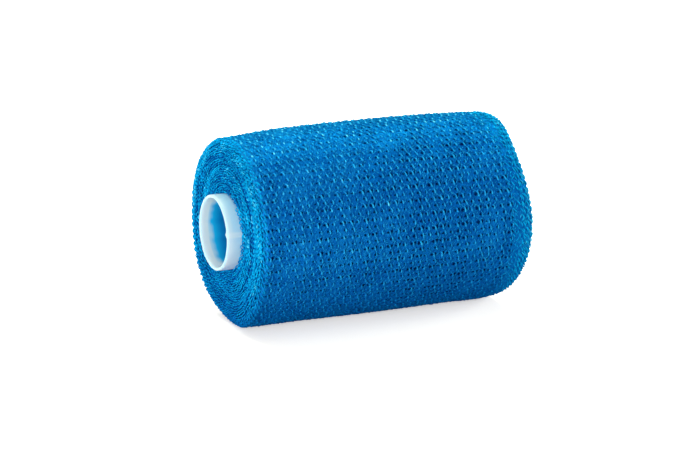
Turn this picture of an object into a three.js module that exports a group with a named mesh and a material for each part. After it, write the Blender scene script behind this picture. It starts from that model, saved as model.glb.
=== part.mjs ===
// A roll of fibreglass casting tape: knitted tape wound on a plastic core tube, lying on its side.
// Units are millimetres. X runs along the roll, Z is up, and the roll rests on z = 0 by a small flat spot.
import * as THREE from "three";

// Driving dimensions
const TAPE_WIDTH = 98.6; // length of the wound roll, a tape of 100 mm nominal width
const ROLL_RADIUS = 32.8; // at the middle of the roll
const BARREL = 0.75; // the roll is this much slimmer, in radius, at its two ends
const CORE_LENGTH = 107.8;
const CORE_RADIUS = 12.7;
const CORE_WALL = 1.05;
const CORE_EDGE = 0.25; // chamfer of the core's rims
const BORE_CLEARANCE = 0.3; // between the innermost turn and the core
const SEGMENTS = 72; // round the roll
const FLAT_HALF_ANGLE = (10 * Math.PI) / 180; // the flat spot's half width, seen from the axis

// The turns of the two ends, from the bore outwards: how far each circle lies inside the outermost plane.
const END_TURNS = [
  { radius: 13.0, nearDip: 0.5, farDip: 0.4 },
  { radius: 14.2, nearDip: 0.1, farDip: 0.1 },
  { radius: 17.5, nearDip: 0.0, farDip: 0.1 },
  { radius: 20.8, nearDip: 0.1, farDip: 0.3 },
  { radius: 21.7, nearDip: 0.6, farDip: 0.7 },
  { radius: 22.8, nearDip: 0.9, farDip: 0.8 },
  { radius: 24.2, nearDip: 0.4, farDip: 0.5 },
  { radius: 26.4, nearDip: 0.1, farDip: 0.2 },
];

// The rounded edge at each end: its reach along the axis and in radius.
const NEAR_SHOULDER = { reach: 2.3, drop: 4.4 };
const FAR_SHOULDER = { reach: 12.1, drop: 2.0 };
const SHOULDER_STEPS = 7;

// Uneven winding. Angles are counted from +Y over the top. Lean moves an end's edge along +X, swell moves
// it outwards, and both fade out towards the middle of the roll and towards its bore.
const UNEVEN = [
  { degrees: 0, nearLean: -0.2, nearSwell: 0.4, farLean: -0.2, farSwell: 0.0 },
  { degrees: 45, nearLean: -0.3, nearSwell: -0.6, farLean: 0.3, farSwell: -1.4 },
  { degrees: 90, nearLean: 0.8, nearSwell: -0.9, farLean: 0.9, farSwell: -0.1 },
  { degrees: 135, nearLean: 0.2, nearSwell: 0.3, farLean: -1.2, farSwell: -0.2 },
  { degrees: 180, nearLean: 0.1, nearSwell: 0.0, farLean: 0.4, farSwell: 0.5 },
  { degrees: 225, nearLean: -1.6, nearSwell: 0.2, farLean: 0.1, farSwell: 0.1 },
  { degrees: 270, nearLean: 0.9, nearSwell: 0.6, farLean: -2.0, farSwell: 1.1 },
  { degrees: 315, nearLean: -1.0, nearSwell: -0.8, farLean: -0.5, farSwell: 0.0 },
];
const UNEVEN_REACH = 0.5; // share of the half length over which the unevenness fades out

const HALF = TAPE_WIDTH / 2;
const BORE_RADIUS = CORE_RADIUS + BORE_CLEARANCE;
const AXIS_HEIGHT = ROLL_RADIUS * Math.cos(FLAT_HALF_ANGLE); // height of the roll's axis over the floor

// A column of the UNEVEN table at any angle, on a smooth closed curve through its rows.
function unevenAt(column, angle) {
  const n = UNEVEN.length;
  const at = (((angle / (2 * Math.PI)) * n) % n + n) % n;
  const i = Math.floor(at) % n;
  const t = at - Math.floor(at);
  const [a, b, c, d] = [i - 1, i, i + 1, i + 2].map((k) => UNEVEN[(k + n) % n][column]);
  return b + 0.5 * t * (c - a + t * (2 * a - 5 * b + 4 * c - d + t * (3 * (b - c) + d - a)));
}

// The roll's half section, once round: up the near end, along the outside, down the far end, and the bore.
function rollProfile() {
  const points = [];
  const add = (x, radius) => points.push(new THREE.Vector2(radius, x));
  const barrel = (x) => ROLL_RADIUS - BARREL * (x / HALF) ** 2;
  for (const turn of END_TURNS) add(-HALF + turn.nearDip, turn.radius);
  for (let i = 0; i <= SHOULDER_STEPS; i++) {
    const angle = (i / SHOULDER_STEPS) * (Math.PI / 2);
    const x = -HALF + NEAR_SHOULDER.reach * (1 - Math.cos(angle));
    add(x, barrel(x) - NEAR_SHOULDER.drop * (1 - Math.sin(angle)));
  }
  const from = -HALF + NEAR_SHOULDER.reach;
  const to = HALF - FAR_SHOULDER.reach;
  const steps = 9;
  for (let i = 1; i < steps; i++) {
    const x = from + ((to - from) * i) / steps;
    add(x, barrel(x));
  }
  for (let i = SHOULDER_STEPS; i >= 0; i--) {
    const angle = (i / SHOULDER_STEPS) * (Math.PI / 2);
    const x = HALF - FAR_SHOULDER.reach * (1 - Math.cos(angle));
    add(x, barrel(x) - FAR_SHOULDER.drop * (1 - Math.sin(angle)));
  }
  for (const turn of [...END_TURNS].reverse()) add(HALF - turn.farDip, turn.radius);
  points.push(points[0].clone());
  return points;
}

// Turns a half section, given as (radius, x), round the X axis.
function turned(profile) {
  const geometry = new THREE.LatheGeometry(profile, SEGMENTS);
  geometry.rotateZ(-Math.PI / 2);
  return geometry;
}

// Leans and swells the ends, then presses the underside flat on z = 0.
function settle(geometry) {
  const position = geometry.getAttribute("position");
  for (let i = 0; i < position.count; i++) {
    const x = position.getX(i);
    const radius = Math.hypot(position.getY(i), position.getZ(i));
    const angle = Math.atan2(position.getZ(i), position.getY(i));
    const fade = THREE.MathUtils.smoothstep(Math.abs(x) / HALF, 1 - UNEVEN_REACH, 1);
    const share = fade * THREE.MathUtils.clamp((radius - BORE_RADIUS) / (ROLL_RADIUS - BORE_RADIUS), 0, 1);
    const end = x < 0 ? "near" : "far";
    const grown = radius + share * unevenAt(end + "Swell", angle);
    const z = AXIS_HEIGHT + grown * Math.sin(angle);
    position.setXYZ(i, x + share * unevenAt(end + "Lean", angle), grown * Math.cos(angle), Math.max(z, 0));
  }
  geometry.computeVertexNormals();
  return geometry;
}

function tapeRoll() {
  const material = new THREE.MeshStandardMaterial({ color: 0x0a6fb8, roughness: 0.5, metalness: 0 });
  const mesh = new THREE.Mesh(settle(turned(rollProfile())), material);
  mesh.name = "tape_roll";
  return mesh;
}

function coreTube() {
  const inner = CORE_RADIUS - CORE_WALL;
  const end = CORE_LENGTH / 2;
  const section = [
    [inner + CORE_EDGE, -end],
    [CORE_RADIUS - CORE_EDGE, -end],
    [CORE_RADIUS, -end + CORE_EDGE],
    [CORE_RADIUS, end - CORE_EDGE],
    [CORE_RADIUS - CORE_EDGE, end],
    [inner + CORE_EDGE, end],
    [inner, end - CORE_EDGE],
    [inner, -end + CORE_EDGE],
    [inner + CORE_EDGE, -end],
  ].map(([radius, x]) => new THREE.Vector2(radius, x));
  const material = new THREE.MeshStandardMaterial({ color: 0xdbe7f5, roughness: 0.35, metalness: 0 });
  const mesh = new THREE.Mesh(turned(section), material);
  mesh.name = "core_tube";
  mesh.position.z = AXIS_HEIGHT;
  return mesh;
}

// The origin lies on the floor, under the middle of the roll's axis.
const group = new THREE.Group();
group.add(tapeRoll(), coreTube());

export default group;
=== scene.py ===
"""A roll of fibreglass casting tape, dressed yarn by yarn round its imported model.

The outer wrap is knitted from its own stitches and inlay yarns, the two ends from the edge loops of every
turn, and the plastic core tube carries its mould seam. All lengths are in metres, in the model's own frame:
+X runs along the roll, +Z is up, and the roll lies on z = 0.
"""

import functools
import math

import bpy
import numpy as np
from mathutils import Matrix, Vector
from mathutils.bvhtree import BVHTree


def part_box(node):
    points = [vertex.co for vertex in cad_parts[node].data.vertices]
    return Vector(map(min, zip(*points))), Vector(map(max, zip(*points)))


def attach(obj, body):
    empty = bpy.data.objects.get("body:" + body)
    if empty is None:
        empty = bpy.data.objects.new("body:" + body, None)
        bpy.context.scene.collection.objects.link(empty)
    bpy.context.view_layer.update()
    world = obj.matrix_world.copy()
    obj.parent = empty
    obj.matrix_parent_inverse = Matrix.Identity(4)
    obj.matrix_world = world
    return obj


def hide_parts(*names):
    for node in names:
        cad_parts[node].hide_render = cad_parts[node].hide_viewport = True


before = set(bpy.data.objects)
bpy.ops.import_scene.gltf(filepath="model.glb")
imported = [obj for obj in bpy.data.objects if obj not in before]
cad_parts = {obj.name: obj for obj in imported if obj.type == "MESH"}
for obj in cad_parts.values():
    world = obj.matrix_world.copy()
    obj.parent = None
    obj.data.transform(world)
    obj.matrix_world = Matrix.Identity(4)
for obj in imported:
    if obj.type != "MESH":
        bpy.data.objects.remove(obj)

bl_info = {
    "name": "Casting Tape Roll",
    "version": (1, 0, 0),
    "blender": (4, 5, 0),
    "location": "3D View > Sidebar > Casting Roll",
    "description": "Knits the visible yarns of a roll of fibreglass casting tape round its packed model",
    "category": "Add Mesh",
}

MM = 0.001
FULL_TURN = 2.0 * math.pi
CORE_LOW, CORE_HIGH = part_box("core_tube")
AXIS_Y = (CORE_LOW.y + CORE_HIGH.y) / 2
AXIS_Z = (CORE_LOW.z + CORE_HIGH.z) / 2
CORE_RADIUS = (CORE_HIGH.z - CORE_LOW.z) / 2


# ---------------------------------------------------------------- sizes and colours


class CastingRollSizes(bpy.types.PropertyGroup):
    """The sizes of the yarns, the turns and the core tube."""

    course: bpy.props.FloatProperty(
        name="Course",
        description="Height of one row of stitches, round the roll",
        default=2.4 * MM,
        unit="LENGTH",
    )
    wale_group: bpy.props.FloatProperty(
        name="Wale group",
        description="Width of the repeat of three wales",
        default=8.4 * MM,
        unit="LENGTH",
    )
    turn: bpy.props.FloatProperty(
        name="Turn", description="Thickness of one turn of tape", default=0.79 * MM, unit="LENGTH"
    )
    stitch_yarn: bpy.props.FloatProperty(
        name="Stitch yarn", description="Width of a stitch's yarn", default=0.52 * MM, unit="LENGTH"
    )
    link_yarn: bpy.props.FloatProperty(
        name="Link yarn",
        description="Width of the thin strands that link the stitches",
        default=0.29 * MM,
        unit="LENGTH",
    )
    inlay_yarn: bpy.props.FloatProperty(
        name="Inlay yarn",
        description="Thickness of an inlay yarn, pressed flat",
        default=0.60 * MM,
        unit="LENGTH",
    )
    edge_yarn: bpy.props.FloatProperty(
        name="Edge yarn",
        description="Width of the yarn of a turn's edge loops",
        default=0.42 * MM,
        unit="LENGTH",
    )
    core_wall: bpy.props.FloatProperty(
        name="Core wall",
        description="Thickness of the core tube's wall",
        default=1.05 * MM,
        unit="LENGTH",
    )
    seed: bpy.props.IntProperty(
        name="Seed", description="Seed of the yarns' unevenness", default=11, min=0
    )


class CastingRollColours(bpy.types.PropertyGroup):
    """The colours of the resin on the yarns and of the core's plastic."""

    # deep: the resin's darker blue in the gaps, deepened with painted shade for the gaps and tucked-in yarn
    # ends
    deep: bpy.props.FloatVectorProperty(
        name="Deep", description="Resin in the gaps", default=(0.0, 0.042, 0.25), size=3, subtype="COLOR"
    )
    body: bpy.props.FloatVectorProperty(
        name="Body",
        description="Resin on the inlay yarns",
        default=(0.002, 0.142, 0.46),
        size=3,
        subtype="COLOR",
    )
    # bright: the resin's pale tone, reached where a stitch's crown carries a painted highlight
    bright: bpy.props.FloatVectorProperty(
        name="Bright",
        description="Resin on the stitches",
        default=(0.02, 0.43, 0.80),
        size=3,
        subtype="COLOR",
    )
    clear: bpy.props.FloatVectorProperty(
        name="Clear",
        description="Resin on the turns' edges",
        default=(0.003, 0.46, 0.84),
        size=3,
        subtype="COLOR",
    )
    plastic: bpy.props.FloatVectorProperty(
        name="Plastic",
        description="The core's plastic",
        default=(0.55, 0.82, 1.0),
        size=3,
        subtype="COLOR",
    )


# ---------------------------------------------------------------- the roll's surface


def unit(vectors):
    """The same vectors, each one long."""
    return vectors / np.linalg.norm(vectors, axis=-1, keepdims=True)


class RollSurface:
    """The roll's outside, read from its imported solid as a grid.

    s runs from the bore at the near end up its face, along the roll and down the far face, in metres.
    phi is the angle round the axis: 0 is +Y, a quarter turn is up, and a half turn is the front, -Y.
    """

    INSET = 6 * MM  # how far inside the outline the rays start
    BORE_GAP = 0.3 * MM  # between the core tube and the first turn
    CLEARANCE = 0.05 * MM  # keeps the innermost rays out of the bore
    FACE_STEPS, CORNER_STEPS, SIDE_STEPS, ROUND_STEPS = 32, 16, 150, 180

    def __init__(self, node):
        low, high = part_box(node.name)
        self.outer = (high.y - low.y) / 2
        self.bore = CORE_RADIUS + self.BORE_GAP
        self.grid = self._cast(node.data, self._rays(low.x + self.INSET, high.x - self.INSET))
        self.normal = self._normals()
        steps = np.linalg.norm(np.diff(self.grid, axis=0), axis=2).mean(1)
        self.s = np.concatenate([[0.0], np.cumsum(steps)])

    def _rays(self, near, far):
        """Where the rays start, as x and radius, and the angle at which they leave the axis."""
        rim = self.outer - self.INSET
        face = np.linspace(self.bore, rim, self.FACE_STEPS) + self.CLEARANCE
        corner = np.linspace(0, math.pi / 2, self.CORNER_STEPS + 2)[1:-1]
        return (
            [(near, radius, math.pi) for radius in face]
            + [(near, rim, math.pi - turn) for turn in corner]
            + [(x, rim, math.pi / 2) for x in np.linspace(near, far, self.SIDE_STEPS)]
            + [(far, rim, math.pi / 2 - turn) for turn in corner]
            + [(far, radius, 0.0) for radius in face[::-1]]
        )

    def _cast(self, mesh, rays):
        """The points where the rays leave the solid, for every angle round the axis."""
        tree = BVHTree.FromPolygons([v.co for v in mesh.vertices], [tuple(p.vertices) for p in mesh.polygons])
        grid = np.zeros((len(rays), self.ROUND_STEPS, 3))
        for j in range(self.ROUND_STEPS):
            phi = j * FULL_TURN / self.ROUND_STEPS
            c, s = math.cos(phi), math.sin(phi)
            for i, (x, radius, way) in enumerate(rays):
                origin = Vector((x, AXIS_Y + radius * c, AXIS_Z + radius * s))
                out = math.sin(way)
                hit = tree.ray_cast(origin, Vector((math.cos(way), out * c, out * s)))[0]
                if hit is None:
                    raise RuntimeError("a ray missed the roll's surface")
                grid[i, j] = hit
        return grid

    def _normals(self):
        """The grid's outward normals, smoothed so that the yarns lean evenly."""
        along = np.gradient(self.grid, axis=0)
        around = np.roll(self.grid, -1, 1) - np.roll(self.grid, 1, 1)
        normal = unit(np.cross(around, along))
        outward = self.grid - self.grid.mean((0, 1))
        normal *= np.sign((normal * outward).sum())
        for _ in range(2):
            normal = normal + np.roll(normal, 1, 1) + np.roll(normal, -1, 1)
            normal[1:-1] = normal[1:-1] + normal[:-2] + normal[2:]
        return unit(normal)

    def _sample(self, field, s, phi):
        """A field of the grid, between its points."""
        last = len(self.s) - 1.001  # a little less, so that there is always a next row
        i = np.clip(np.interp(s, self.s, np.arange(len(self.s))), 0, last)
        j = (phi / FULL_TURN * self.ROUND_STEPS) % self.ROUND_STEPS
        i0, j0 = np.floor(i).astype(int), np.floor(j).astype(int) % self.ROUND_STEPS
        fi, fj = (i - np.floor(i))[..., None], (j - np.floor(j))[..., None]
        j1 = (j0 + 1) % self.ROUND_STEPS
        near = field[i0, j0] * (1 - fj) + field[i0, j1] * fj
        far = field[i0 + 1, j0] * (1 - fj) + field[i0 + 1, j1] * fj
        return near * (1 - fi) + far * fi

    def at(self, s, phi, height=0.0):
        """(points, normals) on the surface at s and phi, raised by height."""
        normal = unit(self._sample(self.normal, s, phi))
        return self._sample(self.grid, s, phi) + normal * np.asarray(height)[..., None], normal

    def radius(self, s, phi):
        """Distance from the axis."""
        p = self._sample(self.grid, s, phi)
        return np.hypot(p[..., 1] - AXIS_Y, p[..., 2] - AXIS_Z)

    def s_where(self, end, radius):
        """s on an end's face or shoulder, at a radius from the axis."""
        r = np.hypot(self.grid[..., 1] - AXIS_Y, self.grid[..., 2] - AXIS_Z).mean(1)
        half = len(r) // 2
        if end == "near":
            return np.interp(radius, np.maximum.accumulate(r[:half]), self.s[:half])
        return np.interp(radius, np.maximum.accumulate(r[half:][::-1]), self.s[half:][::-1])


@functools.cache
def surface():
    """The roll's surface, read once."""
    return RollSurface(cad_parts["tape_roll"])


# ---------------------------------------------------------------- meshes


def new_piece(name, points, faces, smooth=True):
    """A mesh object from points and a list of face index arrays, all faces of an array the same size."""
    mesh = bpy.data.meshes.new(name)
    points = np.asarray(points, np.float32).reshape(-1, 3)
    counts = np.concatenate([np.full(len(f), f.shape[1]) for f in faces])
    corners = np.concatenate([f.ravel() for f in faces])
    mesh.vertices.add(len(points))
    mesh.vertices.foreach_set("co", points.ravel())
    mesh.loops.add(len(corners))
    mesh.loops.foreach_set("vertex_index", corners.astype(np.int32))
    mesh.polygons.add(len(counts))
    mesh.polygons.foreach_set("loop_start", np.concatenate([[0], np.cumsum(counts)[:-1]]).astype(np.int32))
    mesh.polygons.foreach_set("loop_total", counts.astype(np.int32))
    mesh.polygons.foreach_set("use_smooth", np.full(len(counts), smooth))
    mesh.update(calc_edges=True)
    mesh.validate()
    piece = bpy.data.objects.new(name, mesh)
    bpy.context.scene.collection.objects.link(piece)
    return piece


def set_attribute(piece, name, values):
    """Give a piece one number at each point."""
    attribute = piece.data.attributes.new(name, "FLOAT", "POINT")
    attribute.data.foreach_set("value", np.asarray(values, np.float32).ravel())


def set_bake_map(piece, uv):
    """Give a piece the map that its materials are baked on."""
    layer = piece.data.uv_layers.new(name="OFBake")
    layer.uv.foreach_set("vector", np.asarray(uv, np.float32).ravel())


def every(*counts):
    """Every combination of some numbers of rows, columns and so on, as flat arrays."""
    return [grid.ravel() for grid in np.meshgrid(*map(np.arange, counts), indexing="ij")]


def grid_quads(rows, columns):
    """Quads over a grid of points that closes both ways."""
    i, j = every(rows, columns)
    i2, j2 = (i + 1) % rows, (j + 1) % columns
    return np.stack([i * columns + j, i2 * columns + j, i2 * columns + j2, i * columns + j2], -1)


# Sections of the yarns: (across, up) pairs going round.
ROUND = [(math.cos(k * FULL_TURN / 5), math.sin(k * FULL_TURN / 5)) for k in range(5)]
FINE = [(-1.0, -0.5), (0.0, 1.0), (1.0, -0.5)]
FLAT = [(-1.0, -0.2), (-0.86, 0.8), (0.86, 0.8), (1.0, -0.2)]
FLAT_RIDGES = (1, 2)  # the corners of the flat section that stay sharp
LOWEST = 0.03 * MM  # the yarns are pressed flat here, where the roll lies
UNDERSIDE = 31.5 * MM  # from the axis down to the deepest shade
EVEN_SHADE, EVENNESS = 0.32, 0.62  # the shade that yarns down there come near to, and how near


def strand_piece(name, yarns, section, columns=None, reach=1):
    """One mesh of many closed yarns.

    yarns holds paths and outward normals (yarns, points, 3), and half widths, half heights and shades
    (yarns, points). Each yarn's section is scaled to its half width and height and ends in a point.
    The section faces along the line between the points `reach` before and after it.
    """
    paths, outward, half_width, half_height, shade = yarns
    section = np.array(section)
    sides = len(section)
    count, length = paths.shape[:2]
    number = np.arange(length)
    after, before = np.minimum(number + reach, length - 1), np.maximum(number - reach, 0)
    tangent = unit(paths[:, after] - paths[:, before])
    side = unit(np.cross(outward, tangent))
    up = np.cross(tangent, side)
    across = half_width[:, :, None] * section[:, 0]
    rise = half_height[:, :, None] * section[:, 1]
    ring = paths[:, :, None] + side[:, :, None] * across[..., None] + up[:, :, None] * rise[..., None]
    tip = np.minimum(half_width, half_height * 1.5) * 0.6  # how far a point stands past its end ring
    head, tail = paths[:, 0] - tangent[:, 0] * tip[:, :1], paths[:, -1] + tangent[:, -1] * tip[:, -1:]
    points = np.concatenate([ring.reshape(count, -1, 3), np.stack([head, tail], 1)], 1)
    points[..., 2] = np.maximum(points[..., 2], LOWEST)
    faces, bake_map = yarn_faces(count, length, section, columns)
    piece = new_piece(name, points, faces)
    set_bake_map(piece, bake_map)

    def spread(values):
        """One value for each point of the mesh, from one for each point of the paths."""
        rings = np.repeat(values[:, :, None], sides, 2).reshape(count, -1)
        return np.concatenate([rings, values[:, :1], values[:, -1:]], 1)

    steps = np.linalg.norm(np.diff(paths, axis=1), axis=2)
    along = np.concatenate([np.zeros((count, 1)), np.cumsum(steps, 1)], 1)
    which = np.broadcast_to(np.arange(count)[:, None] * 0.37, (count, length))  # sets each yarn's grain apart
    set_attribute(piece, "shade", spread(shaded_below(shade, paths[..., 2])))
    set_attribute(piece, "along", spread(along))
    set_attribute(piece, "which", spread(which))
    set_attribute(piece, "across", np.concatenate([across.reshape(count, -1), np.zeros((count, 2))], 1))
    if sides == len(FLAT):
        crease(piece, length, sides, FLAT_RIDGES)
    return piece


def yarn_faces(count, length, section, columns):
    """Faces of many yarns: the quads round each, and the triangles of its two points.

    With them comes their bake map, in which every yarn is unrolled in a cell of its own.
    """
    sides = len(section)
    columns = columns or math.ceil(math.sqrt(count * sides / length))
    ring, side = every(length - 1, sides)
    ring, turn = ring[:, None] + [0, 1, 1, 0], side[:, None] + [0, 0, 1, 1]
    side = np.arange(sides)[:, None]
    head = np.hstack([side, (side + 1) % sides, np.full_like(side, length * sides)])
    tail = np.hstack([(side + 1) % sides, side, np.full_like(side, sides + 1)]) + (length - 1) * sides
    quads = (ring * sides + turn % sides, ring + 1.0, turn)
    tip_along = np.repeat([[1.0, 1.0, 0.2], [length, length, length + 0.8]], sides, 0)
    tips = (np.vstack([head, tail]), tip_along, np.vstack([side + [0, 1, 0.5], side + [1, 0, 0.5]]))
    number = np.arange(count)[:, None, None]
    cell, cells = np.stack([number % columns, number // columns], -1), (columns, math.ceil(count / columns))
    margin = 0.06  # of a cell, left free on each side
    x, y = section.T
    clockwise = np.sum(x * np.roll(y, -1) - np.roll(x, -1) * y) <= 0
    faces, maps = [], []
    for corners, along, around in (quads, tips):
        place = np.stack([along, around], -1) / (length + 1.0, sides)
        if not clockwise:
            corners, place = corners[:, ::-1], place[:, ::-1]
        faces.append((corners + number * (length * sides + 2)).reshape(-1, corners.shape[1]))
        maps.append(((cell + margin + (1 - 2 * margin) * place) / cells).reshape(-1, 2))
    return faces, np.concatenate(maps)


def shaded_below(shade, z):
    """Shades that even out and fall off towards the underside, which gets little light."""
    under = np.clip((AXIS_Z - z) / UNDERSIDE, 0, 1)
    return shade + (EVEN_SHADE - shade) * EVENNESS * under - 0.19 * under**5 - 0.16 * under**16


def crease(piece, length, sides, corners):
    """Mark the lines that run along the yarns at some corners of their section as sharp."""
    ends = np.empty(2 * len(piece.data.edges), np.int64)
    piece.data.edges.foreach_get("vertices", ends)
    local = ends.reshape(-1, 2) % (length * sides + 2)
    ring = (local < length * sides).all(1)
    sharp = ring & (local[:, 0] % sides == local[:, 1] % sides) & np.isin(local[:, 0] % sides, corners)
    attribute = piece.data.attributes.new("sharp_edge", "BOOLEAN", "EDGE")
    attribute.data.foreach_set("value", sharp)


def finish_piece(piece, material, nodes=()):
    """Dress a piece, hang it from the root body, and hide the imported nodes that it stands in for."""
    piece.data.materials.append(material)
    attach(piece, "root")
    if nodes:
        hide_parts(*nodes)
    return piece


# ---------------------------------------------------------------- materials


class Nodes:
    """Short forms for building the node tree of a material or of the world."""

    def __init__(self, owner):
        owner.use_nodes = True
        self.owner = owner
        self.tree = owner.node_tree
        self.shader = self.tree.nodes.get("Principled BSDF")

    def add(self, kind, inputs=(), **settings):
        """A new node with its settings, and its inputs fed by name or number."""
        node = self.tree.nodes.new(kind)
        for name, value in settings.items():
            setattr(node, name, value)
        self.feed(node, dict(inputs))
        return node

    def feed(self, node, inputs):
        """Set a node's inputs, each to a value or to another node's output."""
        for key, value in inputs.items():
            if isinstance(value, bpy.types.NodeSocket):
                self.tree.links.new(value, node.inputs[key])
            else:
                node.inputs[key].default_value = value

    def math(self, operation, a, b=0.0, clamp=False):
        """A sum, a product or the like of two values."""
        return self.add("ShaderNodeMath", {0: a, 1: b}, operation=operation, use_clamp=clamp).outputs[0]

    def swing(self, noise, size):
        """A noise, moved to lie about zero and scaled."""
        return self.math("MULTIPLY", self.math("SUBTRACT", noise, 0.5), size)

    def blend(self, a, share_a, b, share_b):
        """The sum of two values, each times its share."""
        return self.math("ADD", self.math("MULTIPLY", a, share_a), self.math("MULTIPLY", b, share_b))

    def attribute(self, name):
        """A number stored at the piece's points."""
        return self.add("ShaderNodeAttribute", attribute_name=name).outputs["Fac"]

    def vector(self, x, y, z):
        """A vector of three values."""
        return self.add("ShaderNodeCombineXYZ", {0: x, 1: y, 2: z}).outputs[0]

    def noise(self, vector, scale, detail=2.0, roughness=0.5):
        """A noise about 0.5, whose grain is 1 / scale wide."""
        inputs = {"Vector": vector, "Scale": scale, "Detail": detail, "Roughness": roughness}
        return self.add("ShaderNodeTexNoise", inputs).outputs["Fac"]

    def place(self):
        """The place on the piece, in metres."""
        return self.add("ShaderNodeTexCoord").outputs["Object"]

    def ramp(self, factor, stops):
        """The colour that a factor has between stops of (position, colour)."""
        node = self.add("ShaderNodeValToRGB", {"Fac": factor})
        ramp = node.color_ramp
        while len(ramp.elements) < len(stops):
            ramp.elements.new(0.5)
        for element, (position, colour) in zip(ramp.elements, stops):
            element.position = position
            element.color = (*colour, 1.0)
        return node.outputs["Color"]

    def bump(self, height, distance, strength=1.0, normal=None):
        """The normals of a relief, over those of another relief if they are given."""
        inputs = {"Height": height, "Distance": distance, "Strength": strength}
        if normal:
            inputs["Normal"] = normal
        return self.add("ShaderNodeBump", inputs).outputs["Normal"]


def mixed(a, b, share):
    """A colour between two others."""
    return tuple(x + (y - x) * share for x, y in zip(a, b))


def yarn_material(colours, name="resin_yarn", clear=0.0):
    """Glass yarn under coloured resin: fine filaments along each yarn, paler where it stands proud as painted
    light.

    clear, from 0 to 1, is how clear the resin is.
    """
    nodes = Nodes(bpy.data.materials.new(name))
    along, across = nodes.attribute("along"), nodes.attribute("across")
    which = nodes.attribute("which")
    lengthways, crossways = nodes.math("MULTIPLY", along, 500.0), nodes.math("MULTIPLY", across, 9000.0)
    filaments = nodes.noise(nodes.vector(lengthways, crossways, which), 1.0, 3.0, 0.6)  # 2 mm by 0.1 mm
    wisps = nodes.noise(slanted(nodes, along, across, which), 1.0, 2.0, 0.6)
    patches = nodes.noise(nodes.place(), 110.0, 3.0)  # about 9 mm
    flecks = nodes.noise(nodes.place(), 800.0)  # about 1 mm
    fine = nodes.math("ADD", nodes.swing(filaments, 0.45), nodes.swing(wisps, 1.15 - 0.45 * clear))
    broad = nodes.math("ADD", nodes.swing(patches, 0.16), nodes.swing(flecks, 0.25))
    uneven = nodes.math("MINIMUM", nodes.math("ADD", fine, broad), 0.22)
    level = nodes.math("MULTIPLY", nodes.math("ADD", nodes.attribute("shade"), uneven), 0.8, clamp=True)
    body = colours.body
    bright = mixed(colours.bright, colours.clear, clear)
    # The last stop is a painted glint colour, reached by the glints and the lightest painted rims.
    painted_glint_colour = (0.16, 0.88, 1.0)
    stops = [
        (0.0, mixed(colours.deep, body, 0.5 * clear)),
        (0.32, body),
        (0.60, mixed(body, bright, 0.55)),
        (0.86, bright),
        (1.0, mixed(bright, painted_glint_colour, 0.7 - 0.25 * clear)),
    ]
    relief = nodes.bump(wisps, 0.45 * MM, 0.9, nodes.bump(flecks, 0.15 * MM, 0.6))
    look = {
        "Base Color": nodes.ramp(level, stops),
        "Normal": nodes.bump(filaments, 0.05 * MM, 0.6, relief),
        "Metallic": 0.25,
        "Roughness": 0.30,
        "Specular IOR Level": 0.0,
        "Specular Tint": (0.0, 0.75, 1.0, 1.0),
        "Sheen Weight": 0.26,
        "Sheen Roughness": 0.36,
        "Sheen Tint": (0.0, 0.72, 1.0, 1.0),
    }
    nodes.feed(nodes.shader, look)
    return nodes.owner


def edge_material(colours):
    """The yarns of the selvedges and of the turns' edges, where the resin is clearer."""
    return yarn_material(colours, "edge_yarn", 1.0)


def slanted(nodes, along, across, which):
    """Place for fine strands that lie askew over a yarn: about 0.4 mm wide and 2 mm long."""
    lengthways = nodes.blend(along, 200.0, across, 420.0)
    crossways = nodes.blend(along, 2300.0, across, -1100.0)
    return nodes.vector(lengthways, crossways, which)


def turns_material(colours):
    """The turns that lie under the outer wrap, seen only through its gaps, and dark with the gaps' painted
    shade.
    """
    nodes = Nodes(bpy.data.materials.new("inner_turns_yarn"))
    grain = nodes.noise(nodes.place(), 900.0, 3.0, 0.6)
    level = nodes.math("ADD", nodes.math("MULTIPLY", grain, 0.5), nodes.attribute("shade"))
    # The darkest stop is painted shade, deep in the gaps.
    painted_gap_shade = mixed(colours.deep, (0.0, 0.0, 0.1), 0.3)
    look = {
        "Base Color": nodes.ramp(level, [(0.15, painted_gap_shade), (0.4, colours.deep), (1.0, colours.body)]),
        "Normal": nodes.bump(grain, 0.3 * MM),
        "Roughness": 0.6,
        "Specular IOR Level": 0.0,
    }
    nodes.feed(nodes.shader, look)
    return nodes.owner


def core_material(colours):
    """Translucent white plastic that takes on the tape's blue where the tape lies behind its wall."""
    nodes = Nodes(bpy.data.materials.new("core_wall_plastic"))
    plastic, bright = colours.plastic, colours.bright
    # tint brings the tape's blue, and also the painted shade, light and seam highlight of core_tint.
    tint = nodes.attribute("tint")
    stops = [
        (0.0, (0.80, 0.96, 1.0)),
        (0.07, plastic),
        (0.22, mixed(plastic, bright, 0.3)),
        (0.46, mixed(bright, (0.0, 0.62, 1.0), 0.6)),
        (0.68, (0.0, 0.28, 0.66)),
        (1.0, mixed(colours.deep, bright, 0.1)),
    ]
    grain = nodes.noise(nodes.place(), 260.0, 3.0)
    look = {
        "Base Color": nodes.ramp(tint, stops),
        "Normal": nodes.bump(grain, 0.04 * MM, 0.5),
        "Roughness": nodes.math("ADD", nodes.math("MULTIPLY", grain, 0.2), 0.28),
        "Specular IOR Level": 0.4,
        "Subsurface Weight": nodes.ramp(tint, [(0.2, (0.9, 0.9, 0.9)), (0.4, (0.0, 0.0, 0.0))]),
        "Subsurface Radius": (1.0, 1.1, 1.2),
        "Subsurface Scale": 2.0 * MM,
    }
    nodes.feed(nodes.shader, look)
    return nodes.owner


def materials(context):
    """The roll's materials, made once."""
    colours = context.scene.casting_roll_colours
    makers = {
        "resin_yarn": yarn_material,
        "edge_yarn": edge_material,
        "inner_turns_yarn": turns_material,
        "core_wall_plastic": core_material,
    }
    return {name: bpy.data.materials.get(name) or make(colours) for name, make in makers.items()}


# ---------------------------------------------------------------- the outer wrap


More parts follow.
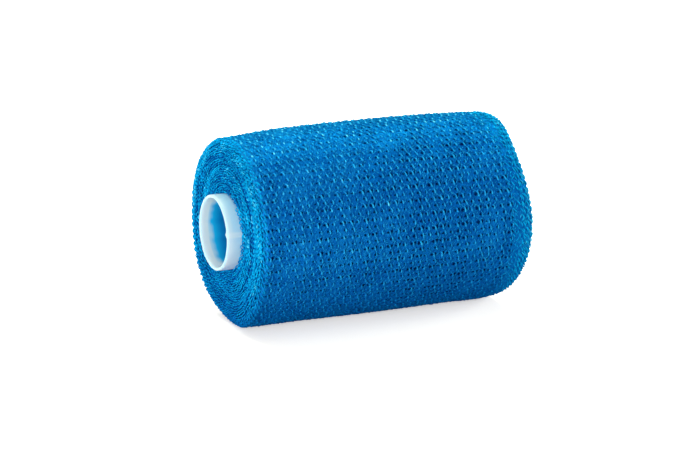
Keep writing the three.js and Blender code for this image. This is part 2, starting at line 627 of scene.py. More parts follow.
WRAP_STARTS, WRAP_ENDS = 30.6 * MM, 30.2 * MM  # radius of the two shoulders there
NEAR_SELVEDGE, FAR_SELVEDGE = 3.0 * MM, 8.0 * MM  # close-knitted borders without gaps
SELVEDGE_WALE = 0.85 * MM
SELVEDGE_LEAN = 0.6 * MM  # how much nearer the near end both stop, as the open stitches lean away from it

# The three wales of a repeat: where each lies, as a share of the repeat, and how far its stitches open.
WALES = [(0.0, 1.0), (0.34, 1.0), (0.655, 0.4)]


def knit_span(roll):
    """s at which the outer wrap starts and ends, on the two shoulders."""
    return roll.s_where("near", WRAP_STARTS), roll.s_where("far", WRAP_ENDS)


def open_wales(sizes, roll):
    """(s, openness) of the wales between the two selvedges."""
    start, end = knit_span(roll)
    start, end = start + NEAR_SELVEDGE, end - FAR_SELVEDGE
    groups = range(math.ceil((end - start) / sizes.wale_group))
    wales = [(start + (group + at) * sizes.wale_group, opening) for group in groups for at, opening in WALES]
    return np.array([wale for wale in wales if wale[0] < end])


def selvedge_wales(roll, end):
    """s of the wales of one selvedge."""
    start, stop = knit_span(roll)
    if end == "near":
        return np.arange(start, start + NEAR_SELVEDGE - SELVEDGE_LEAN, SELVEDGE_WALE)
    return np.arange(stop, stop - FAR_SELVEDGE - SELVEDGE_LEAN, -SELVEDGE_WALE)


def course_lines(sizes, roll):
    """(number of pairs of courses, angle of one pair)."""
    middle = roll.radius(np.array([roll.s[-1] / 2]), np.array([0.0]))[0]
    pairs = round(FULL_TURN * middle / (2 * sizes.course))
    return pairs, FULL_TURN / pairs


def looseness(s, phi, length):
    """How loosely the tape is knitted, from 0.3 to 1.1: loosest right of the middle, at front and back."""
    place = s / length
    swell = np.exp(-(((place - 0.62) / 0.22) ** 2))
    ripple = np.sin(5 * phi + 31 * place) * np.sin(3 * phi - 17 * place + 1.3)
    return 0.70 + 0.28 * swell + 0.14 * ripple - 0.20 * np.sin(phi) ** 2 - 0.08 * np.clip(-np.sin(phi), 0, 1)


def drift(s, phi):
    """How far the wales wander along the roll."""
    return 0.22 * MM * np.sin(3 * phi + 90 * s) + 0.16 * MM * np.sin(7 * phi + 210 * s + 2)


# A stitch of an open course: it comes out from under the row above it, runs down to its foot and goes back
# up. The columns are along the roll, up the front and over the surface, in mm, and the yarn's share of width.
OPEN_STITCH = np.array([
    (-1.00, 0.66, -0.52, 0.50),
    (-0.70, 0.94, -0.12, 0.62),
    (-0.34, 0.88, 0.02, 0.80),
    (-0.06, 0.48, 0.12, 0.98),
    (0.06, -0.10, 0.17, 1.15),
    (0.16, -0.66, 0.04, 1.18),
    (0.42, -0.98, -0.16, 0.85),
    (0.84, -0.50, -0.20, 0.66),
    (1.20, 0.02, -0.04, 0.80),
    (1.36, 0.46, -0.10, 0.72),
    (1.42, 0.90, -0.72, 0.55),
])
# A stitch of a close course stands almost upright.
CLOSE_STITCH = np.array([
    (-0.56, 0.84, -0.60, 0.50),
    (-0.34, 1.00, -0.14, 0.64),
    (-0.08, 0.70, 0.00, 0.84),
    (0.04, 0.12, 0.10, 1.04),
    (0.10, -0.44, 0.08, 1.08),
    (0.24, -0.80, -0.14, 0.82),
    (0.50, -0.40, -0.20, 0.55),
    (0.72, 0.10, -0.10, 0.60),
    (0.78, 0.55, -0.74, 0.50),
])
# A stitch of a selvedge: short, slanted and packed.
SELVEDGE_STITCH = np.array([
    (-0.52, 0.92, -0.38, 0.62),
    (-0.42, 0.56, -0.10, 0.90),
    (-0.14, 0.14, 0.06, 1.14),
    (0.14, -0.24, 0.03, 1.06),
    (0.36, -0.60, -0.12, 0.88),
    (0.38, -0.92, -0.38, 0.62),
])

# A loop of the rim, bulging out of the shoulder.
RIM_LOOP = np.array([
    (-0.40, 0.95, -0.50, 0.75),
    (-0.26, 0.62, 0.04, 0.90),
    (-0.04, 0.10, 0.30, 1.10),
    (0.18, -0.42, 0.24, 1.05),
    (0.34, -0.84, 0.00, 0.90),
    (0.42, -1.10, -0.52, 0.75),
])

# The gaps beside a stitch: along the roll, up the front, half width and half height, in mm.
OPEN_GAPS = [(-0.66, 0.06, 0.38, 0.52), (0.60, 0.36, 0.50, 0.66)]
CLOSE_GAPS = [(-0.62, 0.34, 0.46, 0.52), (0.46, 0.14, 0.30, 0.40)]
CLOSE_SHIFT = 0.85 * MM  # along the roll, from the stitches of the open courses

SINK = 0.14 * MM  # how deep the stitches sit in the wrap
PRESS_REACH, PRESS_DEPTH = 6 * MM, 0.34 * MM  # the stitches this near to what the roll lies on are pressed in
FLATNESS = 0.74  # a stitch yarn's height over its width


def lay_stitches(roll, shape, s, phi, size, yarn, rng, shade=0.0, way=1.0, lift=0.0, even=0.0):
    """Yarns of one shape of stitch, one at every s and phi, each at its own size.

    way -1 turns one round, lift raises it, and even, from 0 to 1, is how evenly it is coloured from its crown
    to
    its feet: it fades out their painted highlight and painted shade, the painted glints and the random tone.
    """
    each = (len(s), 1)
    across, rise, over, stoutness = shape.T
    wide = size * rng.uniform(0.88, 1.12, len(s))
    tall = (0.55 + 0.45 * size) * rng.uniform(0.90, 1.10, len(s))
    lean = rng.normal(0, 0.10, len(s))
    along = across * wide[:, None] + rise * lean[:, None]
    path_s = s[:, None] + along * MM * np.reshape(way, (-1, 1))
    path_phi = phi[:, None] - rise * tall[:, None] * MM / roll.radius(s, phi)[:, None]
    height = over * MM - SINK + rng.normal(0, 0.035 * MM, each) - (1 - size[:, None]) * 0.1 * MM
    height = height + np.reshape(lift, (-1, 1))
    points, normals = roll.at(path_s, path_phi, height)
    press = np.clip(1 - points[..., 2:] / PRESS_REACH, 0, 1)
    points = points - normals * press * (height[..., None] + PRESS_DEPTH) * 0.6
    width = stoutness * yarn / 2 * rng.uniform(0.88, 1.12, each) * (0.7 + 0.3 * size[:, None])
    # Painted highlight and painted shade: out and stout make a stitch lighter where it stands proud and
    # thick, darker at its tucked-in feet.
    out = np.clip((over + 0.75) / 0.8, 0, 1)
    stout = np.clip((stoutness - 0.55) / 0.6, 0, 1)
    # Painted glints on the crowns, more of them towards the top of the roll, where the light from above
    # catches.
    top = np.clip(np.sin(phi[:, None]), 0, 1) ** 8
    picked = rng.uniform(0, 1, each) < 0.16 + 0.34 * top
    crown = stoutness > 0.95 * stoutness.max()
    glint = (0.15 + 0.17 * top) * picked * crown
    even = np.reshape(even, (-1, 1))
    level = 0.19 + (0.28 * out + 0.35 * stout) * (1 - even) + 0.42 * even
    level = level + (rng.normal(0, 0.08, each) + glint) * (1 - even) + shade
    return points, normals, width, width * FLATNESS, level * np.ones_like(width)


def joined(*groups):
    """Yarns of several calls as one, all with the same number of points."""
    return tuple(np.concatenate(parts) for parts in zip(*groups))


def stitches(sizes, roll, shape, course, rng):
    """The stitches of the open courses (course 0) or of the close courses between them (course 1)."""
    wales = open_wales(sizes, roll)
    pairs, step = course_lines(sizes, roll)
    row, wale = every(pairs, len(wales))
    phi = (row + 0.5 * course) * step + rng.normal(0, 0.10 * MM, len(row)) / roll.outer
    s = wales[wale, 0] + course * CLOSE_SHIFT
    s = s + drift(s, phi) + rng.normal(0, 0.10 * MM, len(s))
    loose = looseness(s, phi, roll.s[-1])
    size = (0.45 + 0.55 * wales[wale, 1]) * (0.5 + 0.5 * loose)
    shade = 0.25 * (0.8 - loose)
    return lay_stitches(roll, shape, s, phi, size, sizes.stitch_yarn, rng, shade[:, None])


# The thin strands that link the stitches: where each starts and ends, from its stitch, along the roll and up
# the front, in mm.
OPEN_LINKS = [
    ((0.40, -0.85), (0.62, -1.75)),
    ((1.36, 0.55), (1.98, 1.45)),
    ((-0.66, 1.05), (-1.35, 1.75)),
]
CLOSE_LINKS = [
    ((0.22, -0.65), (-1.30, -1.60)),
    ((0.30, -0.60), (1.36, -1.50)),
    ((0.78, 0.30), (1.50, 1.25)),
]
# Such a strand: along its length (a share), bow, height (mm) and its width as a share.
LINK = np.array([
    (0.00, 0.0, -0.58, 0.6),
    (0.22, 0.7, -0.26, 0.9),
    (0.50, 1.0, -0.14, 1.1),
    (0.78, 0.6, -0.26, 0.9),
    (1.00, 0.0, -0.58, 0.6),
])


def links(sizes, roll, course, rng):
    """The thin strands that run over the inlay yarns from the open (0) or the close (1) stitches."""
    wales = open_wales(sizes, roll)
    pairs, step = course_lines(sizes, roll)
    ways = np.array(CLOSE_LINKS if course else OPEN_LINKS)
    row, wale, way = every(pairs, len(wales), len(ways))
    each = (len(row), 1)
    share, bend, over, stoutness = LINK.T
    ends = ways[way] + rng.normal(0, 0.16, (len(row), 2, 2))
    bow = rng.normal(0.16, 0.12, len(row))
    delta = ends[:, 1] - ends[:, 0]
    across = unit(np.stack([-delta[:, 1], delta[:, 0]], -1))
    path = ends[:, :1] + delta[:, None] * share[:, None]
    path = path + across[:, None] * bend[:, None] * bow[:, None, None]
    s = wales[wale, 0] + course * CLOSE_SHIFT
    phi = (row + 0.5 * course) * step
    s = s + drift(s, phi)
    height = over * MM + rng.normal(0, 0.05 * MM, each)
    path_phi = phi[:, None] - path[..., 1] * MM / roll.outer
    points, normals = roll.at(s[:, None] + path[..., 0] * MM, path_phi, height)
    width = stoutness * sizes.link_yarn / 2 * rng.uniform(0.7, 1.3, each)
    # Painted light: glints on some strands' middles, and shade towards their ends, which dip under the inlay
    # yarns.
    glint = 0.15 * (rng.uniform(0, 1, each) < 0.12) * (stoutness > 0.8)
    shade = 0.47 + glint + 0.3 * (stoutness - 0.6) + rng.normal(0, 0.10, each)
    return points, normals, width, width * 0.9, shade * np.ones_like(width)


LUMPS = {"near": 0.26 * MM, "far": 0.70 * MM}  # the courses' bulges at the two rims
LUMP_REACH = 3.6 * MM
FAR_RIM = 3.0 * MM  # from the outer wrap's far end to where its bulges are highest


def lump(end, pair, away):
    """How far the courses bulge at a rim, in metres, by the pair of courses and the distance from the rim."""
    return LUMPS[end] * np.exp(-((away / LUMP_REACH) ** 2)) * (np.abs(np.cos(FULL_TURN * pair)) - 0.55)


def selvedge_stitches(sizes, roll, end, rng):
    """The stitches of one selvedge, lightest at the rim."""
    wales = selvedge_wales(roll, end)
    pairs, step = course_lines(sizes, roll)
    row, wale = every(2 * pairs, len(wales))
    phi = (row / 2 + 0.31 * wale) * step + rng.normal(0, 0.26 * MM, len(row)) / roll.outer
    s = wales[wale] + rng.normal(0, 0.22 * MM, len(row))
    size = rng.uniform(0.75, 1.1, len(row))
    start, stop = knit_span(roll)
    # Painted light over the rim's paler tone: the far rim lightest at its edge and towards its bottom, which
    # the lamps reach little.
    if end == "far":
        share = (stop - s) / FAR_SELVEDGE
        even, patchy = 0.65 * np.clip(1.3 - share, 0, 1), 0.07
        shade = (0.74 - 0.14 * np.sin(phi)) * np.clip(1 - share, 0, 1) ** 1.3
        lift = lump(end, phi / step, stop - s - FAR_RIM)
    else:
        even, patchy = 0.3, 0.15
        shade = 0.16 * np.clip(1 - (s - start) / NEAR_SELVEDGE, 0, 1)
        lift = lump(end, phi / step, s - start)
    # Painted light and shade: each bulge lighter on its crest, darker in its trough.
    shade = shade + rng.normal(0, patchy, len(row)) + 0.2 * lift / MM
    way = rng.choice([1.0, 1.0, 1.0, -1.0], len(row)) * rng.uniform(0.3, 1.4, len(row))
    yarn = sizes.stitch_yarn * 0.74
    return lay_stitches(roll, SELVEDGE_STITCH, s, phi, size, yarn, rng, shade[:, None], way, lift, even)


UNDER = 0.22 * MM  # how far an inlay yarn runs in under the stitches where there is no gap
GAP_EDGE = 0.34 * MM  # over which a gap opens


def lips(s, phi, course, wales, roll, rng):
    """How far the two inlay yarns of a course draw back from its line, up and down the front, in metres."""
    above = np.full(s.shape, -UNDER)
    below = np.full(s.shape, -UNDER)
    close = course % 2
    nearest = np.abs(wales[:, :1] + close * CLOSE_SHIFT - s).argmin(0)
    for number in np.unique(nearest):
        centre, openness = wales[number]
        centre = centre + close * CLOSE_SHIFT
        centre = centre + drift(centre, phi)
        for along, up, half_width, half_height in CLOSE_GAPS if close else OPEN_GAPS:
            if openness < 0.5 and along > 0:
                continue
            loose = looseness(centre, phi, roll.s[-1]) * rng.uniform(0.72, 1.18) * (0.7 + 0.3 * openness)
            if close:
                loose = loose * 0.85
            away = np.abs(s - centre - along * MM * (0.5 + 0.5 * openness))
            bump = np.clip((half_width * MM * loose + GAP_EDGE / 2 - away) / GAP_EDGE, 0, 1)
            above = np.maximum(above, bump * ((half_height + up) * loose * MM + UNDER) - UNDER)
            below = np.maximum(below, bump * ((half_height - up) * loose * MM + UNDER) - UNDER)
    return above, below


INLAY_POINTS = 280
INLAY_DEPTH = 0.50 * MM  # under the roll's surface


def inlays(sizes, roll, rng):
    """The flat yarns laid in across the wales, one between every two courses."""
    wales = open_wales(sizes, roll)
    start, end = knit_span(roll)
    pairs, step = course_lines(sizes, roll)
    count = 2 * pairs
    s = np.linspace(start + 0.1 * MM, end - 0.1 * MM, INLAY_POINTS)
    phase = np.interp(s, wales[:, 0], np.arange(len(wales)))
    radius = roll.radius(s, np.zeros(INLAY_POINTS))
    edges = [lips(s, course * step / 2, course, wales, roll, rng) for course in range(count)]
    parts = []
    for course in range(count):
        # this yarn lies below this course on the front, towards the next one, at greater phi
        upper = course * step / 2 * radius + edges[course][1]
        lower = (course + 1) * step / 2 * radius - edges[(course + 1) % count][0]
        parts.append(((upper + lower) / 2, (lower - upper) / 2))
    centre, half = (np.array(part) for part in zip(*parts))
    sway = 0.10 * MM * np.sin(phase[None] * math.pi + (np.arange(count) % 2)[:, None] * math.pi)
    wander = rng.normal(0, 0.05 * MM, centre.shape)
    phi = (centre + sway + wander) / radius
    hump = 0.07 * MM * np.cos(phase * FULL_TURN)[None] + 0.05 * MM * np.sin(phi * 9 + s * 300)
    height = -INLAY_DEPTH + hump + rng.normal(0, 0.03 * MM, phi.shape)
    points, normals = roll.at(np.broadcast_to(s, phi.shape), phi, height)
    edge = np.clip(1 - np.minimum((s - start) / (3.4 * MM), (end - s) / FAR_SELVEDGE), 0, 1)
    shade = 0.31 + 0.16 * edge + 0.25 * (0.8 - looseness(s[None], phi, roll.s[-1]))
    shade = shade + rng.normal(0, 0.03, phi.shape) + rng.normal(0, 0.03, (count, 1))
    return points, normals, half, np.full(half.shape, sizes.inlay_yarn / 2), shade


# ---------------------------------------------------------------- the turns' edges


# An edge loop of one turn, seen on the end. The columns are across the turn and round it, as shares of a turn
# and of the loop's span, out of it, in mm, and the yarn's share of width.
EDGE_LOOP = np.array([
    (-0.10, -0.62, -0.40, 0.70),
    (-0.23, -0.44, -0.10, 1.00),
    (-0.17, -0.20, 0.08, 1.15),
    (0.01, 0.00, 0.14, 1.20),
    (0.18, 0.20, 0.08, 1.15),
    (0.24, 0.44, -0.10, 0.95),
    (0.10, 0.62, -0.40, 0.70),
])

# How many waves the loops' height and place have round a turn.
LIFT_WAVES, SWAY_WAVES = (1, 2, 3, 5, 9, 17), (3, 7, 13, 19, 26)
FRAY = 0.6 * MM  # the most that a loop of the innermost turn stands out
LOOP_SINK = 0.22 * MM  # how deep the edge loops sit in the end face

# How light the turns' edges are, by their distance from the axis in mm: their own tone with painted light and
# shade of the near face's rings and shoulder, and lighter towards the far rim, which the lamps reach little.
END_SHADES = {
    "near": [(13, 0.62), (15, 0.58), (17.5, 0.66), (20.6, 0.72), (22.2, 0.80)]
    + [(24.5, 0.62), (27.2, 0.66), (28.7, 0.94), (29.8, 0.76), (31, 0.64)],
    "far": [(13, 0.65), (19, 0.55), (24, 0.7), (28, 1.1), (31, 1.2)],
}


def waves(phi, size, counts, rng):
    """A wavy line round the roll: one sine for each count of waves, of a seeded height and start."""
    return sum(rng.normal(0, size) * np.sin(count * phi + rng.uniform(0, 6.3)) for count in counts)


def edge_rows(sizes, roll, lines, rng):
    """(s, phi, lift, radius) of the edge loops of the turns on some lines, three loops to two courses."""
    rows = []
    for number, line in enumerate(lines):
        radius = float(roll.radius(np.array([line]), np.array([0.0]))[0])
        count = round(FULL_TURN * radius / (sizes.course * 0.66))
        phi = (np.arange(count) + rng.uniform(0, 1)) * FULL_TURN / count
        phi = phi + rng.normal(0, 0.1 * MM, count) / radius
        lift = waves(phi, 0.05 * MM, LIFT_WAVES, rng)
        lift = lift + rng.normal(0, 0.06 * MM, count) + rng.normal(0, 0.04 * MM)
        if number == 0:
            lift = lift + rng.uniform(0, FRAY, count)
        sway = waves(phi, 0.04 * MM, SWAY_WAVES, rng)
        rows.append(np.stack([line + sway, phi, lift, np.full(count, radius)]))
    return np.concatenate(rows, 1)


def edge_loops(sizes, roll, end, rng):
    """The edge loops of all turns at one end, in rings of their own shades."""
    start, stop = knit_span(roll)
    if end == "near":
        rim, lines = start, np.arange(roll.s[0] + sizes.turn * 0.4, start - 0.2 * MM, sizes.turn)
    else:
        rim, lines = stop, np.arange(roll.s[-1] - sizes.turn * 0.4, stop + 0.2 * MM, -sizes.turn)
    s, phi, lift, radius = edge_rows(sizes, roll, lines, rng)
    each = (len(s), 1)
    across, run, over, stoutness = EDGE_LOOP.T
    s = s + rng.normal(0, 0.05 * MM, len(s))
    twist = rng.choice([1.0, 1.0, 1.0, -0.8], len(s)) * rng.uniform(0.4, 1.3, len(s))
    path_s = np.clip(s[:, None] + across * twist[:, None] * sizes.turn, roll.s[0], roll.s[-1])
    span = sizes.course * rng.uniform(0.46, 0.60, each)
    path_phi = phi[:, None] + run * span / radius[:, None]
    height = over * MM + lift[:, None] - LOOP_SINK
    height = height + lump(end, path_phi / course_lines(sizes, roll)[1], 2 * (path_s - rim))
    points, normals = roll.at(path_s, path_phi, height)
    width = stoutness * sizes.edge_yarn / 2 * rng.uniform(0.8, 1.25, each)
    # Painted highlight and painted shade: each loop lighter in its proud middle and darker at its sunk ends,
    # with some painted glints.
    out = np.clip((over + 0.4) / 0.5, 0, 1)
    glint = rng.uniform(0, 1, each) < 0.05
    out = out + 0.4 * glint * np.clip(stoutness - 0.9, 0, 1) / 0.3
    at_radius, lightness = np.array(END_SHADES[end]).T
    # Painted light over the turns' own tone: the rings' bands shift with the angle, and the face's lower
    # front is made lighter where the lamps light it less.
    base = np.interp(radius + 1.3 * MM * np.sin(phi - 0.44), at_radius * MM, lightness)
    base = base - 0.008 + 0.06 * np.cos(phi - 3.9) * np.clip(1 - (radius - 27 * MM) / (3 * MM), 0, 1)
    blotch = 0.18 * np.sin(phi * 7 + radius * 900) * np.sin(phi * 4 - radius * 1400 + 2)
    shade = base[:, None] - 0.26 + 0.42 * out + (rng.normal(0, 0.15, len(s)) + blotch)[:, None]
    return points, normals, width, width * 0.9, shade


# The rows of rim loops, in mm past the end of the outer wrap.
RIM_ROWS = {"near": (-0.4, 0.7, -1.6), "far": (-3.6, -2.2, -0.8, 0.6)}
FAR_RIM_SINK = 0.16 * MM


def rim_loops(sizes, roll, end, rng):
    """The bigger loops that stand out where the outer wrap turns over each shoulder, one to a course."""
    start, stop = knit_span(roll)
    pairs, step = course_lines(sizes, roll)
    yarn = sizes.stitch_yarn * 1.1
    parts = []
    for past in RIM_ROWS[end]:
        line = start - past * MM if end == "near" else stop + past * MM
        phi = np.arange(2 * pairs) / 2 * step
        line = np.full(len(phi), line)
        phi = phi + rng.normal(0, 0.15 * MM, len(phi)) / roll.radius(line, phi)
        s = line + rng.normal(0, 0.12 * MM, len(phi))
        size = rng.uniform(0.8, 1.15, len(phi))
        # Painted light: the far rows lighter towards the rim and the bottom, which the lamps reach little.
        if end == "near":
            shade, even, sink = 0.02, 0.1, 0.0
            lift = lump(end, phi / step, past * MM)
        else:
            shade, even, sink = 0.40 + 0.06 * past - 0.10 * np.sin(phi), 0.6, FAR_RIM_SINK
            lift = lump(end, phi / step, past * MM + FAR_RIM)
        # Painted light and shade: each bulge lighter on its crest, darker in its trough.
        shade = (shade + 0.25 * lift / MM)[:, None]
        parts.append(lay_stitches(roll, RIM_LOOP, s, phi, size, yarn, rng, shade, 1.0, lift - sink, even))
    return joined(*parts)


def with_points(yarns, count):
    """The same yarns, each resampled to a number of points."""
    old = np.linspace(0, 1, yarns[0].shape[1])
    new = np.linspace(0, 1, count)
    place = np.interp(new, old, np.arange(len(old)))
    low = np.minimum(place.astype(int), len(old) - 2)
    share = place - low
    result = []
    for values in yarns:
        part = share[:, None] if values.ndim == 3 else share
        result.append(values[:, low] * (1 - part) + values[:, low + 1] * part)
    return tuple(result)


# ---------------------------------------------------------------- the inner turns and the core


# How deep the inner turns lie under the roll's surface, in mm, and how light they are, by the distance in mm
# from where the outer wrap starts and from where it ends. Under the wrap they are dark, as painted shade for
# its gaps over the tape's own darker blue.
INNER_DEPTHS = [(-2, 0.55), (0, 0.60), (3, 0.9)], [(-9, 0.9), (-5, 0.7), (0, 0.55), (2, 0.55)]
INNER_SHADES = [(-2, 0.42), (3, 0.10)], [(-9, 0.10), (0, 0.50)]
INNER_COLUMNS = 100


def stretches(*parts):
    """Numbers spread over several stretches that meet: the first, the last and how many of each."""
    return np.unique(np.concatenate([np.linspace(*part) for part in parts]))


def inner_turns(roll):
    """The closed body of the turns under the outer wrap: the roll's surface, let in, with its bore."""
    start, stop = knit_span(roll)
    s = stretches((roll.s[0], start, 24), (start, stop, 40), (stop, roll.s[-1], 24))
    phi = np.arange(INNER_COLUMNS) * FULL_TURN / INNER_COLUMNS

    def between(near, far):
        """The values of a table's two halves at every s."""
        places = [start + away * MM for away, _ in near] + [stop + away * MM for away, _ in far]
        return np.interp(s, places, [value for _, value in near + far])

    depth, face = between(*INNER_DEPTHS) * MM, between(*INNER_SHADES)
    grid_s, grid_phi = np.meshgrid(s, phi, indexing="ij")
    points, _ = roll.at(grid_s, grid_phi, -depth[:, None] * np.ones_like(grid_s))
    bores = points[[0, -1]].copy()
    for row in bores:
        angle = np.arctan2(row[:, 2] - AXIS_Z, row[:, 1] - AXIS_Y)
        row[:, 1] = AXIS_Y + roll.bore * np.cos(angle)
        row[:, 2] = AXIS_Z + roll.bore * np.sin(angle)
    points = np.concatenate([bores[:1], points, bores[1:]])
    shade = np.concatenate([face[:1], face, face[-1:]])
    quads = grid_quads(len(points), INNER_COLUMNS)[:, [0, 3, 2, 1]]  # turned over, to face outwards
    return points, quads, np.repeat(shade, INNER_COLUMNS)


SEAM_ANGLE = math.radians(170.5)  # of the core's mould seam, seen on the front
SEAM_HALF, SEAM_HEIGHT = 0.95 * MM, 0.14 * MM
NUB_HALF, NUB_LENGTH, NUB_HEIGHT = 0.75 * MM, 1.0 * MM, 1.3 * MM
CORE_COLUMNS, RIM_STEPS = 128, 9


def core_section(wall):
    """The core's closed section, with rounded rims: x, radius, and a share from outside (0) to inside (1)."""
    lip = wall / 2
    middle = CORE_RADIUS - lip
    low, high = CORE_LOW.x + lip, CORE_HIGH.x - lip
    straight = low + (high - low) * stretches((0, 0.14, 14), (0.14, 0.86, 4), (0.86, 1, 14))
    turn = np.linspace(0, 1, RIM_STEPS)[1:-1]
    rim = list(zip(lip * np.sin(math.pi * turn), lip * np.cos(math.pi * turn), turn))
    section = [(x, CORE_RADIUS, 0.0) for x in straight]
    section += [(high + out, middle + up, share) for out, up, share in rim]
    section += [(x, CORE_RADIUS - wall, 1.0) for x in straight[::-1]]
    section += [(low - out, middle - up, 1 - share) for out, up, share in rim]
    return np.array(section)


def core_mesh(sizes, roll):
    """The core tube, with a mould seam along its outside and a nub inside, where it meets the near rim."""
    phi = np.arange(CORE_COLUMNS) * FULL_TURN / CORE_COLUMNS
    section = core_section(sizes.core_wall)
    x, radius, inside = (np.repeat(column[:, None], CORE_COLUMNS, 1) for column in section.T)
    off = ((phi - SEAM_ANGLE + math.pi) % FULL_TURN - math.pi) * CORE_RADIUS
    seam = np.exp(-((off / SEAM_HALF) ** 4))[None]
    nub = np.exp(-((off / NUB_HALF) ** 2))[None] * np.exp(-(((x - CORE_LOW.x) / NUB_LENGTH) ** 2))
    radius = radius + SEAM_HEIGHT * seam * (inside < 0.5) - NUB_HEIGHT * nub * (inside > 0.5)
    points = np.stack([x, AXIS_Y + radius * np.cos(phi), AXIS_Z + radius * np.sin(phi)], -1)
    return points, grid_quads(len(section), CORE_COLUMNS), core_tint(roll, x, phi, inside, seam)


def core_tint(roll, x, phi, inside, seam):
    """How blue the core's plastic is: by how deep the tape lies over it, with painted shade and light, and
    paler along its seam.
    """
    near, _ = roll.at(np.full(len(phi), roll.s[0]), phi)
    far, _ = roll.at(np.full(len(phi), roll.s[-1]), phi)
    wave = 0.3 * MM * np.sin(5 * phi) + 0.2 * MM * np.sin(11 * phi + 1) + 0.14 * MM * np.sin(23 * phi)
    depth = np.minimum(x - near[:, 0], far[:, 0] - x)
    behind = depth + wave + (0.5 + 0.8 * np.cos(phi)) * MM
    # Bluer where the tape lies behind the wall, and darker still deeper in the bore, as painted shade.
    blue = 0.44 * np.clip(behind / (1.2 * MM) + 0.5, 0, 1)
    blue = blue + 0.5 * np.clip((behind - 0.8 * MM) / (6 * MM), 0, 1)
    # Painted shade, tinted blue, on the outer wall next to the tape's face, weaker towards the bottom.
    shadow = 0.16 * np.clip(1 + depth / (4.0 * MM), 0, 1) * (0.5 + 0.5 * np.sin(phi))
    # Painted light from below: the outer wall whiter towards its bottom and bluer on its top.
    painted_light_below = 0.02 + 0.025 * np.sin(phi)
    tint = np.where(inside > 0.5, 0.015 + blue, painted_light_below + shadow)
    tint = np.where((inside > 0.02) & (inside < 0.98), 0.13, tint)
    # Paler along the outer seam: a painted highlight on its ridge.
    return np.where((inside < 0.02) & (seam > 0.5), tint * 0.4, tint)


# ---------------------------------------------------------------- the stage


CAMERA = {
    "azimuth": math.radians(-24.83),
    "elevation": math.radians(14.11),
    "distance": 1.004,
    "lens": 152.7,
    "across": -3.78 * MM,
    "up": -5.31 * MM,
}

# Each lamp's place, size in metres, power in watts and colour. All of them face the roll's middle.
LAMPS = {
    "top": ((0.0, 0.45, 1.0), (0.9, 0.7), 9.2, (1.0, 1.0, 0.78)),
    "left": ((-1.25, -0.45, 0.12), (0.3, 0.2), 12.5, (0.96, 1.0, 0.99)),
    "front": ((-0.7, -1.25, 0.7), (0.8, 0.6), 4.1, (1.0, 1.0, 1.0)),
    "right": ((1.2, -0.10, 0.35), (0.5, 0.5), 8.4, (1.0, 1.0, 1.0)),
    "back": ((0.45, 0.65, 0.80), (0.3, 0.3), 4.4, (1.0, 1.0, 0.80)),
}

FLOOR_HALF = 3.0
FLOOR_UNSEEN = (0.58, 0.55, 0.70, 1.0)  # as the object's own light meets it
FLOOR_SEEN = (1.0, 0.97, 0.81, 1.0)
FLOOR_GLOW = (0.562, 0.555, 0.554, 1.0)  # added where the camera sees it, which makes it white
WORLD_COLOUR = (0.97, 0.94, 1.0, 1.0)
WORLD_LIGHT, WORLD_EXTRA_SEEN = 0.36, 0.71


def add_camera():
    """The camera, which looks at the roll's middle from its azimuth and elevation, and a little past it."""
    a, e = CAMERA["azimuth"], CAMERA["elevation"]
    back = Vector((math.sin(a) * math.cos(e), -math.cos(a) * math.cos(e), math.sin(e)))
    right = Vector((math.cos(a), math.sin(a), 0.0))
    up = back.cross(right)
    middle = Vector((0.0, AXIS_Y, AXIS_Z))
    data = bpy.data.cameras.new("camera")
    data.lens = CAMERA["lens"]
    data.sensor_width = 36.0
    camera = bpy.data.objects.new("camera", data)
    camera.location = middle + back * CAMERA["distance"]
    aim = middle + right * CAMERA["across"] + up * CAMERA["up"]
    camera.rotation_euler = (aim - camera.location).to_track_quat("-Z", "Y").to_euler()
    data.clip_start, data.clip_end = 0.05, 20.0
    bpy.context.scene.collection.objects.link(camera)
    bpy.context.scene.camera = camera


def add_lamp(name, place, size, power, colour):
    """A rectangular lamp that faces the roll's middle."""
    data = bpy.data.lights.new(name, "AREA")
    data.shape = "RECTANGLE"
    data.size, data.size_y = size
    data.energy = power
    data.color = colour
    lamp = bpy.data.objects.new(name, data)
    lamp.location = place
    aim = Vector((0.0, AXIS_Y, AXIS_Z))
    lamp.rotation_euler = (aim - lamp.location).to_track_quat("-Z", "Y").to_euler()
    bpy.context.scene.collection.objects.link(lamp)


def seen_strength(nodes, more, least):
    """The least value, and more on top of it for camera, glossy and transmission rays."""
    path = nodes.add("ShaderNodeLightPath").outputs
    seen = path["Is Camera Ray"]
    for name in ("Is Glossy Ray", "Is Transmission Ray"):
        seen = nodes.math("MAXIMUM", seen, path[name])
    return nodes.math("ADD", nodes.math("MULTIPLY", seen, more), least)


def floor_material():
    """A pale floor that shows white to the camera but keeps the shadow."""
    nodes = Nodes(bpy.data.materials.new("floor"))
    nodes.tree.nodes.remove(nodes.shader)
    unseen = nodes.add("ShaderNodeBsdfDiffuse", {"Color": FLOOR_UNSEEN})
    lit = nodes.add("ShaderNodeBsdfDiffuse", {"Color": FLOOR_SEEN})
    glow = nodes.add("ShaderNodeEmission", {"Color": FLOOR_GLOW})
    seen = nodes.add("ShaderNodeAddShader", {0: lit.outputs[0], 1: glow.outputs[0]})
    share = seen_strength(nodes, 1.0, 0.0)
    floor = nodes.add("ShaderNodeMixShader", {0: share, 1: unseen.outputs[0], 2: seen.outputs[0]})
    nodes.feed(nodes.tree.nodes["Material Output"], {"Surface": floor.outputs[0]})
    return nodes.owner


# ---------------------------------------------------------------- operators


